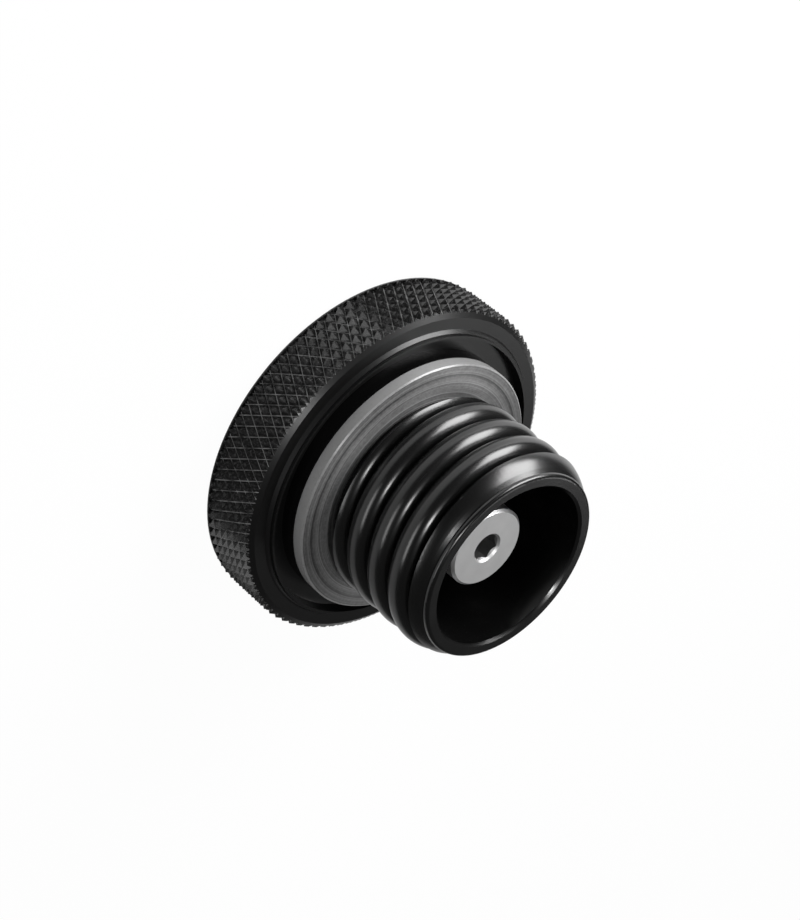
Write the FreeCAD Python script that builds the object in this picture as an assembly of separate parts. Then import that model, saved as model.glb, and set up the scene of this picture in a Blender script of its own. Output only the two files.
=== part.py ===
"""Screw-in vented fuel cap: a knurled head, a threaded neck, a gasket and a ball vent valve.

The cap stands on the flat top of its head, with its axis on Z and the thread end up.
Lengths are in millimetres.
"""
import FreeCAD, Part
import math
import os
from FreeCAD import Vector

# Head
head_radius = 36.6
rim_height = 13.9
edge_bevel_width = 2.0
edge_bevel_height = 1.3
lip_radius = 36.2
lip_height = 1.4
knurl_teeth = 95
knurl_depth = 1.2
knurl_row = 4.0

# Underside of the head: a raised, stepped bead around a recess
bead_foot_radius = 32.2
bead_step_radius = 31.7
bead_step_height = 0.7
bead_crest_radius = 31.4
bead_height = 1.2
bead_crest_width = 0.5
recess_radius = 30.6
recess_floor = 12.8

# Neck
flange_radius = 27.4
flange_thickness = 3.4
neck_root_radius = 19.5
neck_height = 33.8
neck_bore_radius = 17.3
cup_floor = 6.7
cup_corner = 2.0
lead_in_radius = 20.1
lead_in_band = 0.9
rim_round = 0.7
bore_chamfer = 0.5
post_radius = 7.6
post_height = 23.4

# Thread on the neck, right-handed, one start: a half-round ridge.
# At the start angle its crest is level with the gasket's face.
thread_pitch = 6.0
thread_height = 2.9
thread_round = 2.85
thread_start_angle = 177.0
thread_root_overlap = 0.4
thread_relief = 0.3
thread_taper_length = 5.0
thread_end_height = 1.0
thread_crest_spare = 0.05

# Gasket
gasket_inset = 0.1
gasket_thickness = 2.5
gasket_edge = 0.25

# Hollow vent screw that clamps the neck to the head
screw_flange_radius = 8.4
screw_flange_thickness = 3.0
screw_flange_chamfer = 0.5
shank_radius = 5.0
shank_engagement = 4.8
hex_across_flats = 5.0
hex_depth = 5.0
hex_countersink = 0.35
vent_hole_radius = 1.25
vent_angle = 90.0
vent_slot_width = 2.0
vent_slot_depth = 1.0
vent_slot_rise = 1.0
vent_groove_depth = 1.2
vent_groove_exit = 1.5
tapped_hole_runout = 1.6
seal_radius = 7.4
seal_thickness = 0.8

# Check valve in the foot of the vent screw
chamber_radius = 2.9
chamber_length = 17.0
seat_length = 4.0
seat_hole_radius = 0.9
seat_cone_radius = 2.3
ball_radius = 2.4
spring_wire_radius = 0.25
spring_mean_radius = 1.9
spring_turns = 7

# Clearances
shank_clearance = 0.08
gasket_clearance = 0.1
seat_press_gap = 0.02
ball_seat_gap = 0.15
spring_gap = 0.1

# How far a cut runs past the face that it opens
overrun = 1.0

# Two sizes closer than this are the same size
match_tolerance = 1e-6

# Heights that follow from the sizes above
neck_foot = recess_floor
gasket_seat = neck_foot + flange_thickness
gasket_face = gasket_seat + gasket_thickness
neck_end = neck_foot + neck_height
post_top = neck_foot + post_height
screw_seat = post_top + seal_thickness
screw_top = screw_seat + screw_flange_thickness
shank_end = neck_foot - shank_engagement
tapped_hole_end = shank_end - tapped_hole_runout
chamber_top = shank_end + chamber_length
seat_top = shank_end + seat_length

origin = Vector(0, 0, 0)
up = Vector(0, 0, 1)


def turned(points):
    """Solid of revolution about Z from (radius, height) corners."""
    corners = [Vector(radius, 0, height) for radius, height in points]
    wire = Part.makePolygon(corners + [corners[0]])
    return Part.Face(wire).revolve(origin, up, 360)


def cylinder(radius, low, high):
    return Part.makeCylinder(radius, high - low, Vector(0, 0, low), up)


def circles(shape, radius, height):
    """Edges of the shape that are circles about Z with this radius at this height."""
    found = []
    for edge in shape.Edges:
        if isinstance(edge.Curve, Part.Circle):
            radius_off = abs(edge.Curve.Radius - radius)
            height_off = abs(edge.Curve.Center.z - height)
            if max(radius_off, height_off) < match_tolerance:
                found.append(edge)
    return found


def knurl_point(step, level):
    """Corner of the diamond lattice: valleys and crests alternate along each level."""
    in_valley = (step + level) % 2 == 0
    radius = head_radius - knurl_depth if in_valley else head_radius
    angle = math.pi * step / knurl_teeth
    return Vector(radius * math.cos(angle), radius * math.sin(angle), level * knurl_row / 2)


def knurled_blank():
    """Disc whose rim is rows of four-sided pyramids between two families of crossing grooves."""
    levels = math.ceil(rim_height / (knurl_row / 2))
    steps = 2 * knurl_teeth
    faces = []
    for level in range(levels):
        for step in range(steps):
            low_left = knurl_point(step, level)
            low_right = knurl_point(step + 1, level)
            high_right = knurl_point(step + 1, level + 1)
            high_left = knurl_point(step, level + 1)
            if (step + level) % 2 == 0:
                triangles = [(low_left, low_right, high_right), (low_left, high_right, high_left)]
            else:
                triangles = [(low_left, low_right, high_left), (low_right, high_right, high_left)]
            for first, second, third in triangles:
                faces.append(Part.Face(Part.makePolygon([first, second, third, first])))
    for level in (0, levels):
        ring = [knurl_point(step, level) for step in range(steps)]
        faces.append(Part.Face(Part.makePolygon(ring + [ring[0]])))
    shell = Part.makeShell(faces)
    shell.sewShape()
    return Part.makeSolid(shell)


def knurled_head():
    """Knurled disc with bevelled edges, a plain lip at its top face and a bead around the recess below."""
    spare = 2 * edge_bevel_width
    bevel_foot = head_radius - edge_bevel_width
    bevel_rise = edge_bevel_height * (edge_bevel_width + spare) / edge_bevel_width
    envelope = turned([
        (0, 0),
        (bevel_foot, 0),
        (head_radius + spare, bevel_rise),
        (head_radius + spare, rim_height - bevel_rise),
        (bevel_foot, rim_height),
        (0, rim_height),
    ])
    lip = cylinder(lip_radius, -overrun, lip_height)
    head = knurled_blank().fuse(lip).common(envelope)
    bead_step = rim_height + bead_step_height
    bead_crest = rim_height + bead_height
    bead_inner = bead_crest_radius - bead_crest_width
    bead = turned([
        (0, rim_height - overrun),
        (bead_foot_radius, rim_height - overrun),
        (bead_foot_radius, rim_height),
        (bead_step_radius, bead_step),
        (bead_crest_radius, bead_step),
        (bead_crest_radius, bead_crest),
        (0, bead_crest),
    ])
    recess = turned([
        (0, recess_floor),
        (recess_radius, recess_floor),
        (bead_inner, bead_crest),
        (bead_inner, bead_crest + overrun),
        (0, bead_crest + overrun),
    ])
    head = head.fuse(bead).cut(recess)
    head = head.cut(cylinder(shank_radius + shank_clearance, tapped_hole_end, recess_floor + overrun))
    groove_length = flange_radius + vent_groove_exit
    groove_corner = Vector(0, -vent_slot_width / 2, recess_floor - vent_groove_depth)
    groove = Part.makeBox(groove_length, vent_slot_width, vent_groove_depth + overrun, groove_corner)
    groove.rotate(origin, up, vent_angle)
    return head.cut(groove).removeSplitter()


def thread_ridge():
    """Helical half-round ridge, rooted just inside the neck wall."""
    root = neck_root_radius - thread_root_overlap
    crest = neck_root_radius + thread_height
    round_centre = crest - thread_round
    low_root = Vector(root, 0, -thread_round)
    low_side = Vector(round_centre, 0, -thread_round)
    crest_point = Vector(crest, 0, 0)
    high_side = Vector(round_centre, 0, thread_round)
    high_root = Vector(root, 0, thread_round)
    profile = Part.Wire([
        Part.makeLine(high_root, low_root),
        Part.makeLine(low_root, low_side),
        Part.Arc(low_side, crest_point, high_side).toShape(),
        Part.makeLine(high_side, high_root),
    ])
    start_height = gasket_face - thread_pitch
    helix = Part.makeHelix(thread_pitch, neck_end + thread_pitch - start_height, root)
    ridge = Part.Wire(helix.Edges).makePipeShell([profile], True, True)
    ridge.rotate(origin, up, thread_start_angle)
    ridge.translate(Vector(0, 0, start_height))
    return ridge.common(thread_limits(crest + thread_crest_spare))


def thread_limits(outside):
    """Room for the ridge: it rises at 45 degrees by the gasket and curves in towards the open end."""
    run_in = gasket_face + thread_relief
    run_out = neck_end - lead_in_band
    end_radius = neck_root_radius + thread_end_height
    taper_end = run_out - thread_end_height
    taper_start = taper_end - thread_taper_length
    fall = outside - end_radius
    curve_radius = (fall ** 2 + thread_taper_length ** 2) / (2 * fall)
    middle_angle = math.asin(thread_taper_length / curve_radius) / 2
    middle = Vector(
        outside - curve_radius + curve_radius * math.cos(middle_angle),
        0,
        taper_start + curve_radius * math.sin(middle_angle),
    )
    curve_start = Vector(outside, 0, taper_start)
    curve_end = Vector(end_radius, 0, taper_end)
    straight = [
        curve_end,
        Vector(neck_root_radius, 0, run_out),
        Vector(0, 0, run_out),
        Vector(0, 0, run_in),
        Vector(neck_root_radius, 0, run_in),
        Vector(outside, 0, run_in + outside - neck_root_radius),
        curve_start,
    ]
    edges = [Part.Arc(curve_start, middle, curve_end).toShape()]
    for first, second in zip(straight, straight[1:]):
        edges.append(Part.makeLine(first, second))
    return Part.Face(Part.Wire(edges)).revolve(origin, up, 360)


def threaded_neck():
    lead_in_foot = neck_end - lead_in_band
    floor_top = neck_foot + cup_floor
    outside = turned([
        (0, neck_foot),
        (flange_radius, neck_foot),
        (flange_radius, gasket_seat),
        (neck_root_radius, gasket_seat),
        (neck_root_radius, lead_in_foot),
        (lead_in_radius, lead_in_foot),
        (lead_in_radius, neck_end),
        (0, neck_end),
    ])
    outside = outside.makeFillet(rim_round, circles(outside, lead_in_radius, neck_end))
    cup = turned([
        (post_radius, floor_top),
        (neck_bore_radius, floor_top),
        (neck_bore_radius, neck_end - bore_chamfer),
        (neck_bore_radius + 2 * bore_chamfer, neck_end + bore_chamfer),
        (0, neck_end + bore_chamfer),
        (0, post_top),
        (post_radius, post_top),
    ])
    corners = circles(cup, post_radius, floor_top) + circles(cup, neck_bore_radius, floor_top)
    cup = cup.makeFillet(cup_corner, corners)
    hole = cylinder(shank_radius + shank_clearance, neck_foot - overrun, post_top + overrun)
    neck = outside.cut(cup).cut(hole)
    return neck.fuse(thread_ridge()).removeSplitter()


def sealing_gasket():
    inner = neck_root_radius + gasket_clearance
    outer = flange_radius - gasket_inset
    return turned([
        (inner, gasket_seat),
        (outer, gasket_seat),
        (outer, gasket_face - gasket_edge),
        (outer - gasket_edge, gasket_face),
        (inner, gasket_face),
    ])


def hexagon(across_flats, low, high):
    corner_radius = across_flats / math.sqrt(3)
    corners = []
    for index in range(7):
        angle = math.radians(60 * index)
        corners.append(Vector(corner_radius * math.cos(angle), corner_radius * math.sin(angle), low))
    return Part.Face(Part.makePolygon(corners)).extrude(Vector(0, 0, high - low))


def vent_screw():
    socket_corner = hex_across_flats / math.sqrt(3)
    body = turned([
        (0, shank_end),
        (shank_radius, shank_end),
        (shank_radius, screw_seat),
        (screw_flange_radius, screw_seat),
        (screw_flange_radius, screw_top - screw_flange_chamfer),
        (screw_flange_radius - screw_flange_chamfer, screw_top),
        (0, screw_top),
    ])
    countersink = turned([
        (0, screw_top - socket_corner - hex_countersink),
        (socket_corner + 2 * hex_countersink, screw_top + hex_countersink),
        (0, screw_top + hex_countersink),
    ])
    slot_corner = Vector(shank_radius - vent_slot_depth, -vent_slot_width / 2, shank_end - overrun)
    slot_height = shank_engagement + vent_slot_rise + overrun
    slot = Part.makeBox(vent_slot_depth + overrun, vent_slot_width, slot_height, slot_corner)
    slot.rotate(origin, up, vent_angle)
    body = body.cut(hexagon(hex_across_flats, screw_top - hex_depth, screw_top + overrun))
    body = body.cut(countersink)
    body = body.cut(cylinder(vent_hole_radius, chamber_top - overrun, screw_top - hex_depth + overrun))
    body = body.cut(cylinder(chamber_radius, shank_end - overrun, chamber_top))
    return body.cut(slot)


def screw_seal():
    return cylinder(seal_radius, post_top, screw_seat).cut(
        cylinder(shank_radius + shank_clearance, post_top - overrun, screw_seat + overrun))


def valve_seat():
    """Pressed plug with a drilled hole that opens into a 45 degree cone for the ball."""
    plug_radius = chamber_radius - seat_press_gap
    cone_depth = seat_cone_radius - seat_hole_radius
    return turned([
        (seat_hole_radius, shank_end),
        (plug_radius, shank_end),
        (plug_radius, seat_top),
        (seat_cone_radius, seat_top),
        (seat_hole_radius, seat_top - cone_depth),
    ])


def ball_height():
    """Centre of the ball where it nearly touches the 45 degree seat."""
    cone_apex = seat_top - seat_cone_radius
    return cone_apex + (ball_radius + ball_seat_gap) * math.sqrt(2)


def vent_ball():
    return Part.makeSphere(ball_radius, Vector(0, 0, ball_height()))


def valve_spring():
    """Light coil between the ball and the top of the valve chamber."""
    wire_reach = ball_radius + spring_wire_radius + spring_gap
    low = ball_height() + math.sqrt(wire_reach ** 2 - spring_mean_radius ** 2)
    high = chamber_top - spring_wire_radius - spring_gap
    pitch = (high - low) / spring_turns
    helix = Part.makeHelix(pitch, high - low, spring_mean_radius)
    circle = Part.makeCircle(spring_wire_radius, Vector(spring_mean_radius, 0, 0), Vector(0, 1, 0))
    coil = Part.Wire(helix.Edges).makePipeShell([Part.Wire(circle)], True, True)
    coil.translate(Vector(0, 0, low))
    return coil


pieces = {
    "knurled_head": knurled_head,
    "threaded_neck": threaded_neck,
    "sealing_gasket": sealing_gasket,
    "vent_screw": vent_screw,
    "screw_seal": screw_seal,
    "valve_seat": valve_seat,
    "vent_ball": vent_ball,
    "valve_spring": valve_spring,
}

os.makedirs("parts", exist_ok=True)
for name, make_piece in pieces.items():
    shape = make_piece()
    print(name, shape.ShapeType, len(shape.Solids), shape.isValid(), round(shape.Volume, 2))
    shape.exportStep(f"parts/{name}.step")
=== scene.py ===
"""Looks of a screw-in vented fuel cap that stands on its head, thread end up. Lengths are in metres."""

import math

import bmesh
import bpy
from mathutils import Matrix, Vector


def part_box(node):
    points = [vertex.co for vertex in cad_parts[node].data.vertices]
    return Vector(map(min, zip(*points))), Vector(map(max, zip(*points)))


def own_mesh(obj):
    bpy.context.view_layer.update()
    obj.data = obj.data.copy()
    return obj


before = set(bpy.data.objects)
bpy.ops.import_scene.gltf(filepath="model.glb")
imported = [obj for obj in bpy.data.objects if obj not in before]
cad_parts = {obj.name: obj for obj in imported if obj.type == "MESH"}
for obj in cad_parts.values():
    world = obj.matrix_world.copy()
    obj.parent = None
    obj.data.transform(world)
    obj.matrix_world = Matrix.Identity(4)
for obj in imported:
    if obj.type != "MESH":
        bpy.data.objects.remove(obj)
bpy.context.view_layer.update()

MM = 0.001

# Camera at the photograph's place: it looks down at the cap and is rolled,
# so that the neck points to the lower right
CAMERA_PLACE = Vector((-2.317, -379.289, 279.425)) * MM
CAMERA_ELEVATION = 35.206
CAMERA_ROLL = 129.601
CAMERA_NEAREST = 0.01
FOCAL_PIXELS = 2400.0
IMAGE_HEIGHT = 920.0
SENSOR = 36.0

# Light of the room, and the share of its white that shows in gloss
ROOM_STRENGTH = 0.03
MIRRORED_WHITE = 0.05

# Floor: half its width, how far it lies under the cap, its paint,
# and how much of it is plain white to the camera, without shadow
FLOOR_HALF = 6.0
FLOOR_DROP = 0.02 * MM
FLOOR_PAINT = 0.8
FLOOR_WHITE = 0.97

# Point of the cap that the lamps face
CAP_MIDDLE = Vector((0, 0, 22)) * MM

# Knurl: its depth, its lower and upper end, the radius at the bottoms of its grooves,
# the radius from which its finish is used, and the radius up to which painted highlight lines lie along
# the groove bottoms
HEAD_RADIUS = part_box("knurled_head")[1].x
KNURL_DEPTH = 1.2 * MM
KNURL_LOW = 0.65 * MM
KNURL_HIGH = 13.25 * MM
GROOVE_RADIUS = HEAD_RADIUS - KNURL_DEPTH
KNURL_INNER = GROOVE_RADIUS - 0.1 * MM
HIGHLIGHT_LINE_RADIUS = GROOVE_RADIUS + 0.05 * MM

# Screw: its face, and the height and radius up to which its socket is painted dark as shade
SCREW_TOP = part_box("vent_screw")[1].z
SHADED_SOCKET_TOP = SCREW_TOP - 0.45 * MM
SHADED_SOCKET_REACH = 3.1 * MM

# Radius up to which the neck counts as the inside of the cup
BORE_REACH = 17.45 * MM

# Widths over which one tone or gloss gives way to the next
HAIR_EDGE = 0.02 * MM
SHARP_EDGE = 0.05 * MM
LINE_EDGE = 0.08 * MM
SOFT_EDGE = 0.1 * MM


class Value:
    """A shader socket that takes part in Python arithmetic: each operator adds a Math node."""

    def __init__(self, shading, socket):
        self.shading = shading
        self.socket = socket

    def math(self, operation, first, second):
        return self.shading.node("ShaderNodeMath", {"operation": operation}, {0: first, 1: second})

    def __add__(self, other):
        return self.math("ADD", self, other)

    def __sub__(self, other):
        return self.math("SUBTRACT", self, other)

    def __rsub__(self, other):
        return self.math("SUBTRACT", other, self)

    def __mul__(self, other):
        return self.math("MULTIPLY", self, other)

    def __pow__(self, other):
        return self.math("POWER", self, other)

    __radd__ = __add__
    __rmul__ = __mul__


class Shading:
    """The nodes of one material or of the world."""

    def __init__(self, owner):
        owner.use_nodes = True
        self.tree = owner.node_tree

    def node(self, kind, settings=None, inputs=None, output=0):
        """A node of this kind, with its settings, then its inputs by name or number."""
        node = self.tree.nodes.new(kind)
        for key, setting in (settings or {}).items():
            setattr(node, key, setting)
        for key, value in (inputs or {}).items():
            self.feed(node.inputs[key], value)
        return Value(self, node.outputs[output])

    def feed(self, socket, value):
        if isinstance(value, Value):
            self.tree.links.new(value.socket, socket)
        else:
            socket.default_value = value

    def ray(self, kind):
        """One on rays of this kind, and zero on others."""
        return self.node("ShaderNodeLightPath", output=kind)

    def blend(self, factor, first, second):
        """Makes the surface a blend of two shaders, in place of the one that was there."""
        surface = self.tree.get_output_node("ALL").inputs["Surface"]
        self.tree.nodes.remove(surface.links[0].from_node)
        self.feed(surface, self.node("ShaderNodeMixShader", inputs={0: factor, 1: first, 2: second}))


class Finish(Shading):
    """One material, with the patterns that its finish is made of."""

    def __init__(self, name):
        self.material = bpy.data.materials.new(name)
        super().__init__(self.material)

    def set(self, **inputs):
        """Values or links of the Principled surface, with spaces written as underscores."""
        surface = self.tree.nodes["Principled BSDF"]
        for key, value in inputs.items():
            self.feed(surface.inputs[key.replace("_", " ")], value)

    def place(self):
        """Object coordinates."""
        return self.node("ShaderNodeTexCoord", output="Object")

    def along(self, axis):
        """One of the object coordinates."""
        return self.node("ShaderNodeSeparateXYZ", inputs={0: self.place()}, output=axis)

    def height(self):
        """Height along the cap's axis."""
        return self.along("Z")

    def radius(self):
        """Distance from the cap's axis."""
        x, y = self.along("X"), self.along("Y")
        return (x * x + y * y) ** 0.5

    def noise(self, scale, detail=2.0):
        return self.node(
            "ShaderNodeTexNoise",
            {"noise_dimensions": "3D"},
            {"Vector": self.place(), "Scale": scale, "Detail": detail},
        )

    def rings(self, along, scale, detail=2.0):
        """Noise that changes only along one value: turning marks about the axis."""
        return self.node(
            "ShaderNodeTexNoise",
            {"noise_dimensions": "1D"},
            {"W": along, "Scale": scale, "Detail": detail},
        )

    def spread(self, value, low, high, out_low, out_high):
        """Value mapped from one range to another and clamped there."""
        return self.node(
            "ShaderNodeMapRange",
            {"clamp": True},
            {"Value": value, "From Min": low, "From Max": high, "To Min": out_low, "To Max": out_high},
        )

    def over(self, value, low, high):
        """Mask that rises from zero to one between low and high."""
        return self.spread(value, low, high, 0.0, 1.0)

    def under(self, value, low, high):
        """Mask that falls from one to zero between low and high."""
        return self.spread(value, low, high, 1.0, 0.0)

    def mix(self, factor, first, second):
        """Colour between two colours: a Mix node's colour sockets are inputs 6 and 7 and output 2."""
        return self.node(
            "ShaderNodeMix",
            {"data_type": "RGBA"},
            {"Factor": factor, 6: first, 7: second},
            output=2,
        )

    def bump(self, height, strength, distance):
        return self.node(
            "ShaderNodeBump",
            inputs={"Height": height, "Strength": strength, "Distance": distance},
        )


def grey(level):
    """Neutral colour of this linear level."""
    return (level, level, level, 1.0)


def satin_black_anodised():
    """Head: fine blasted black, with painted glints as pale specks and painted highlight lines at the
    groove bottoms of the smoother knurl.
    """
    finish = Finish("satin_black_anodised")
    radius = finish.radius()
    height = finish.height()

    above = finish.over(height, KNURL_LOW, KNURL_LOW + SHARP_EDGE)
    below = finish.under(height, KNURL_HIGH, KNURL_HIGH + SHARP_EDGE)
    outside = finish.over(radius, KNURL_INNER, KNURL_INNER + HAIR_EDGE)
    knurl = outside * above * below

    # Painted highlight lines along the bottoms of the knurl grooves, broken into separate glints by a
    # noise
    highlight_lines = finish.under(radius, HIGHLIGHT_LINE_RADIUS, HIGHLIGHT_LINE_RADIUS + LINE_EDGE)
    line_glints = finish.spread(finish.noise(scale=420.0), 0.3, 0.7, 0.1, 1.0)
    # Painted glints: pale specks scattered over the knurl facets
    facet_glints = finish.over(finish.noise(scale=2400.0), 0.5, 0.7)
    glinting_facet = finish.mix(facet_glints, grey(0.004), grey(0.035))
    knurl_tone_and_highlights = finish.mix(highlight_lines * line_glints, glinting_facet, grey(0.32))

    cloud = finish.noise(scale=90.0)
    grain = finish.noise(scale=2600.0, detail=3.0)
    turning = finish.rings(radius, scale=5200.0)
    finish.set(
        Base_Color=finish.mix(knurl, grey(0.003), knurl_tone_and_highlights),
        Roughness=0.29 + 0.08 * cloud - 0.08 * knurl,
        Specular_IOR_Level=0.37,
        Normal=finish.bump(grain + turning * 0.5, strength=0.12, distance=0.02 * MM),
    )
    return finish.material


def gloss_black_anodised():
    """Neck: deep gloss black with faint turning marks along its height, and smoother inside the cup."""
    finish = Finish("gloss_black_anodised")
    inside = finish.under(finish.radius(), BORE_REACH, BORE_REACH + SOFT_EDGE)
    marks = finish.rings(finish.height(), scale=3800.0, detail=3.0)
    cloud = finish.noise(scale=120.0)
    finish.set(
        Base_Color=finish.mix(cloud, grey(0.0015), grey(0.003)),
        Roughness=0.2 + 0.07 * cloud + 0.03 * marks - 0.06 * inside,
        Specular_IOR_Level=0.55,
        Normal=finish.bump(marks, strength=0.05, distance=0.01 * MM),
    )
    return finish.material


def grey_gasket():
    """Gasket: grey, with the rings that lathe cutting leaves on its face and their fans of light."""
    finish = Finish("grey_gasket")
    radius = finish.radius()
    coarse = finish.rings(radius, scale=900.0, detail=4.0)
    fine = finish.rings(radius, scale=4200.0)
    speck = finish.noise(scale=1800.0)
    tone = coarse * 0.55 + fine * 0.3 + speck * 0.15
    finish.set(
        Base_Color=finish.mix(finish.over(tone, 0.4, 0.6), grey(0.035), grey(0.2)),
        Roughness=0.31 + 0.12 * fine,
        Specular_IOR_Level=0.9,
        Anisotropic=0.8,
        Anisotropic_Rotation=0.25,
        Normal=finish.bump(coarse + fine * 0.6 + speck * 0.3, strength=0.35, distance=0.03 * MM),
    )
    return finish.material


def bare_screw_metal():
    """Vent screw: pale bare metal, faced on a lathe, with painted shade darkening its broached socket."""
    finish = Finish("bare_screw_metal")
    radius = finish.radius()
    # Painted shade: the socket below the screw's face is coloured dark grey
    inside = finish.under(radius, SHADED_SOCKET_REACH, SHADED_SOCKET_REACH + SHARP_EDGE)
    socket = finish.under(finish.height(), SHADED_SOCKET_TOP, SHADED_SOCKET_TOP + SOFT_EDGE) * inside
    marks = finish.rings(radius, scale=7000.0, detail=3.0)
    faced = finish.mix(finish.noise(scale=300.0), grey(0.6), grey(0.7))
    finish.set(
        Base_Color=finish.mix(socket, faced, grey(0.24)),
        Metallic=1.0,
        Roughness=0.42 + 0.12 * marks,
        Normal=finish.bump(marks, strength=0.12, distance=0.01 * MM),
    )
    return finish.material


def hidden_metal(name, low, high, roughness):
    """Small inner pieces of the valve: metal with a faint cloud of tone between two colours."""
    finish = Finish(name)
    cloud = finish.noise(scale=700.0)
    finish.set(Base_Color=finish.mix(cloud, low, high), Metallic=1.0, Roughness=roughness + 0.1 * cloud)
    return finish.material


def black_seal_rubber():
    """Screw seal: matt black with a fine speck."""
    finish = Finish("black_seal_rubber")
    speck = finish.noise(scale=2000.0, detail=3.0)
    finish.set(
        Base_Color=finish.mix(speck, grey(0.012), grey(0.022)),
        Roughness=0.6 + 0.2 * speck,
        Normal=finish.bump(speck, strength=0.2, distance=0.02 * MM),
    )
    return finish.material


def dress(node, material):
    """Gives a CAD node one finish."""
    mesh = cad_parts[node].data
    mesh.materials.clear()
    mesh.materials.append(material)


def lamp(name, azimuth, elevation, distance, size, power):
    """Soft rectangular light, seen from the cap at this azimuth and elevation."""
    data = bpy.data.lights.new(name, "AREA")
    data.shape = "RECTANGLE"
    data.size, data.size_y = size
    data.energy = power
    light = bpy.data.objects.new(name, data)
    bpy.context.scene.collection.objects.link(light)
    around, rise = math.radians(azimuth), math.radians(elevation)
    level = math.cos(rise)
    direction = Vector((level * math.cos(around), level * math.sin(around), math.sin(rise)))
    light.location = CAP_MIDDLE + direction * distance
    light.rotation_euler = direction.to_track_quat("Z", "Y").to_euler()


def pale_floor():
    """White floor that keeps a faint shadow of the cap."""
    square = bmesh.new()
    bmesh.ops.create_grid(square, x_segments=1, y_segments=1, size=FLOOR_HALF)
    mesh = bpy.data.meshes.new("floor")
    square.to_mesh(mesh)
    square.free()
    floor = bpy.data.objects.new("floor", mesh)
    bpy.context.scene.collection.objects.link(floor)
    floor.location.z = -FLOOR_DROP

    finish = Finish("floor_white")
    paint = finish.node("ShaderNodeBsdfDiffuse", inputs={"Color": grey(FLOOR_PAINT)})
    white = finish.node("ShaderNodeEmission", inputs={"Strength": 1.0})
    finish.blend(finish.ray("Is Camera Ray") * FLOOR_WHITE, paint, white)
    mesh.materials.append(finish.material)


def white_world():
    """Dim room around the cap that looks white to the camera and shows faintly in gloss."""
    world = bpy.data.worlds.new("studio")
    bpy.context.scene.world = world
    shading = Shading(world)
    room, white = (
        shading.node("ShaderNodeBackground", inputs={"Color": grey(1.0), "Strength": strength})
        for strength in (ROOM_STRENGTH, 1.0)
    )
    mirrored = shading.node(
        "ShaderNodeMath",
        {"operation": "MAXIMUM"},
        {0: shading.ray("Is Glossy Ray"), 1: shading.ray("Is Transmission Ray")},
    )
    shading.blend(mirrored * MIRRORED_WHITE + shading.ray("Is Camera Ray"), room, white)


def photo_camera():
    """Camera that frames the cap as the photograph does."""
    data = bpy.data.cameras.new("photo_camera")
    data.lens = FOCAL_PIXELS / IMAGE_HEIGHT * SENSOR
    data.sensor_width = SENSOR
    data.clip_start = CAMERA_NEAREST
    camera = bpy.data.objects.new("photo_camera", data)
    bpy.context.scene.collection.objects.link(camera)
    tilt = Matrix.Rotation(math.radians(90 - CAMERA_ELEVATION), 4, "X")
    roll = Matrix.Rotation(math.radians(CAMERA_ROLL), 4, "Z")
    camera.matrix_world = Matrix.Translation(CAMERA_PLACE) @ tilt @ roll
    bpy.context.scene.camera = camera


dress("knurled_head", satin_black_anodised())
dress("threaded_neck", gloss_black_anodised())
dress("sealing_gasket", grey_gasket())
dress("vent_screw", bare_screw_metal())
dress("screw_seal", black_seal_rubber())
dress("valve_seat", hidden_metal("seat_brass", (0.6, 0.42, 0.18, 1), (0.72, 0.52, 0.25, 1), roughness=0.3))
dress("vent_ball", hidden_metal("ball_steel", grey(0.6), grey(0.7), roughness=0.12))
dress("valve_spring", hidden_metal("spring_steel", grey(0.4), grey(0.5), roughness=0.3))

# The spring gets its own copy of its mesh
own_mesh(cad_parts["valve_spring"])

pale_floor()
white_world()
photo_camera()

# The softbox lights the gasket and the side of the thread, the fill the knurl, the strip a streak
# along the thread, and the back light the screw's face and the rim of the neck
lamp("side_softbox", azimuth=188.0, elevation=25.0, distance=0.32, size=(0.2, 0.19), power=1.85)
lamp("front_fill", azimuth=308.0, elevation=10.0, distance=0.8, size=(0.5, 0.2), power=1.5)
lamp("top_strip", azimuth=285.0, elevation=66.0, distance=0.8, size=(0.06, 0.22), power=2.3)
lamp("back_light", azimuth=109.0, elevation=45.0, distance=0.8, size=(0.3, 0.26), power=0.82)

bpy.context.scene.view_settings.view_transform = "Standard"
